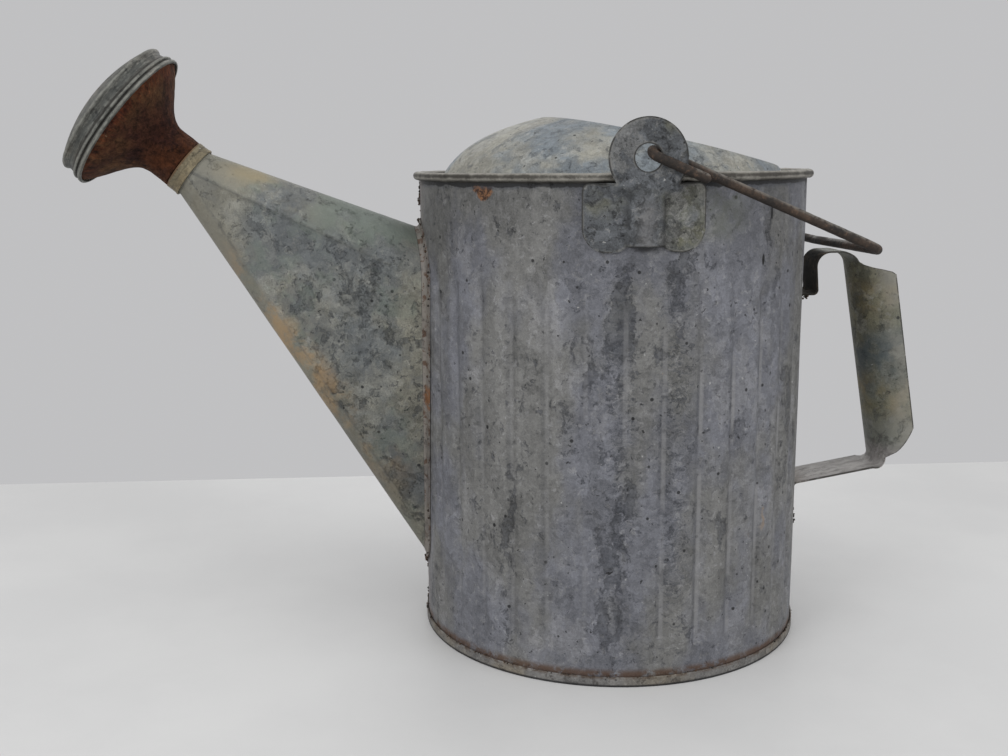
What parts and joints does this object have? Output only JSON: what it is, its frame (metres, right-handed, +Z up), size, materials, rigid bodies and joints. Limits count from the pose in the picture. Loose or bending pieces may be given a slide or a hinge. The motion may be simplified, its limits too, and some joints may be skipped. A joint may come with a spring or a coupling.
{
  "type": "watering can",
  "caption": "Weathered galvanised watering can with fluted round body, hooded slanted mouth, flat-sided spout with rusty rose, strap grip behind and swinging wire bail.",
  "frame": {"origin": "on the floor at the centre of the round body", "axes": "+Z up along the body axis, -X towards the spout, +X towards the strap grip, -Y and +Y towards the bail ears"},
  "size_m": [0.4768, 0.239, 0.3282],
  "materials": {
    "body_zinc": "dull weathered zinc, mottled blue-grey with beige patches and dark streaks",
    "rim_wire_steel": "bare wire hidden in the rolled rim",
    "pan_zinc": "dull zinc with rust along the seam",
    "hood_zinc": "pale dull zinc, clouded beige and grey-green",
    "ear_zinc": "dull zinc with dark specks",
    "bail_rust": "brown rust worn smooth along the top",
    "spout_zinc": "dull grey-green zinc with ochre along the lower edge",
    "handle_zinc": "dull olive grey zinc, stained and scuffed",
    "collar_zinc": "olive-beige zinc with rust at the joint",
    "rose_rust": "rough dark red-brown rust with orange streaks at the rim",
    "rose_face_zinc": "dull grey-green zinc"
  },
  "bodies": {
    "can": {"body_wall": "body_zinc", "rim_wire": "rim_wire_steel", "bottom_pan": "pan_zinc", "hood": "hood_zinc", "near_ear": "ear_zinc", "far_ear": "ear_zinc", "spout": "spout_zinc", "spout_collar": "collar_zinc", "rear_handle": "handle_zinc"},
    "bail": {"bail": "bail_rust"},
    "rose": {"rose_cone": "rose_rust", "rose_face": "rose_face_zinc"}
  },
  "joints": [
    {"name": "bail_swing", "type": "hinge", "parent": "can", "child": "bail", "pos_m": [0.0001, 0, 0.2718], "axis": [0, -1, 0], "range_deg": [0, 216]},
    {"name": "rose_pull", "type": "slide", "parent": "can", "child": "rose", "axis": [-0.7727, 0, 0.6347], "range_m": [0, 0.015]}
  ]
}
